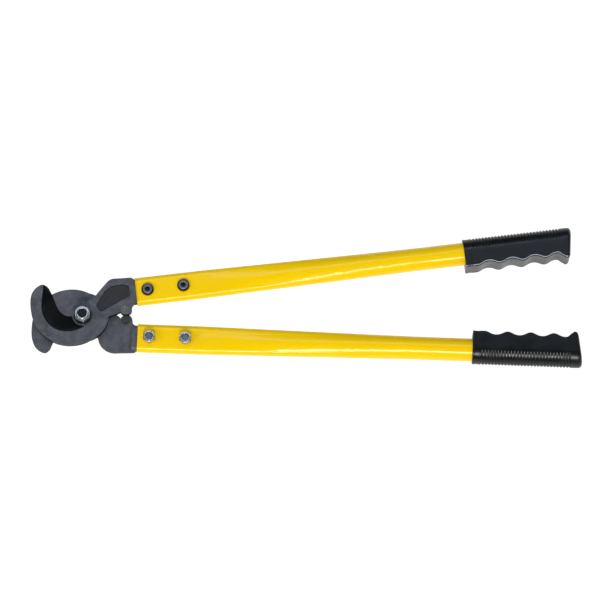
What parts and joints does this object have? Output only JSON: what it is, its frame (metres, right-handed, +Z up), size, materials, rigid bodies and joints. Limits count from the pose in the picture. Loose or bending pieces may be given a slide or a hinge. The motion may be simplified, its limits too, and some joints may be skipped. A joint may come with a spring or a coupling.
{
  "type": "hand cable cutter",
  "caption": "Long-handled hand cable cutter with crossed hook jaws, flattened tubular steel arms and black finger-groove grips.",
  "frame": {"origin": "On the pivot axis, at the outer face of the pivot bolt's head, level with the flat lower faces of both grips: the bench the closed tool lies on.", "axes": "+X from the pivot along the bisector of the two arms, towards the grips; +Z up, along the pivot bolt towards its nut; +Y towards the upper arm."},
  "size_m": [0.6082, 0.1608, 0.0355],
  "materials": {
    "forged_steel": "phosphated forging, dark grey, satin",
    "pin_steel": "dark turned steel pin",
    "yellow_enamel": "gloss yellow stove enamel",
    "black_grip": "gloss black moulded PVC",
    "black_oxide": "black oxide",
    "zinc": "bright zinc plate",
    "nylon": "moulded nylon"
  },
  "bodies": {
    "upper_half": {"upper_jaw": "forged_steel", "upper_stop_pin": "pin_steel", "upper_arm_tube": "yellow_enamel", "upper_grip": "black_grip", "upper_front_screw": "black_oxide", "upper_front_nut": "zinc", "upper_front_nut_ring": "nylon", "upper_rear_screw": "black_oxide", "upper_rear_nut": "zinc", "upper_rear_nut_ring": "nylon"},
    "lower_half": {"lower_jaw": "forged_steel", "lower_stop_pin": "pin_steel", "lower_arm_tube": "yellow_enamel", "lower_grip": "black_grip", "lower_front_screw": "black_oxide", "lower_front_nut": "zinc", "lower_front_nut_ring": "nylon", "lower_rear_screw": "black_oxide", "lower_rear_nut": "zinc", "lower_rear_nut_ring": "nylon", "pivot_bolt": "zinc", "pivot_washer": "black_oxide", "pivot_nut": "zinc", "pivot_nut_ring": "nylon"}
  },
  "joints": [
    {"name": "jaw_pivot", "type": "hinge", "parent": "lower_half", "child": "upper_half", "pos_m": [0, 0, 0.0155], "axis": [0, 0, 1], "range_deg": [0, 120]}
  ]
}
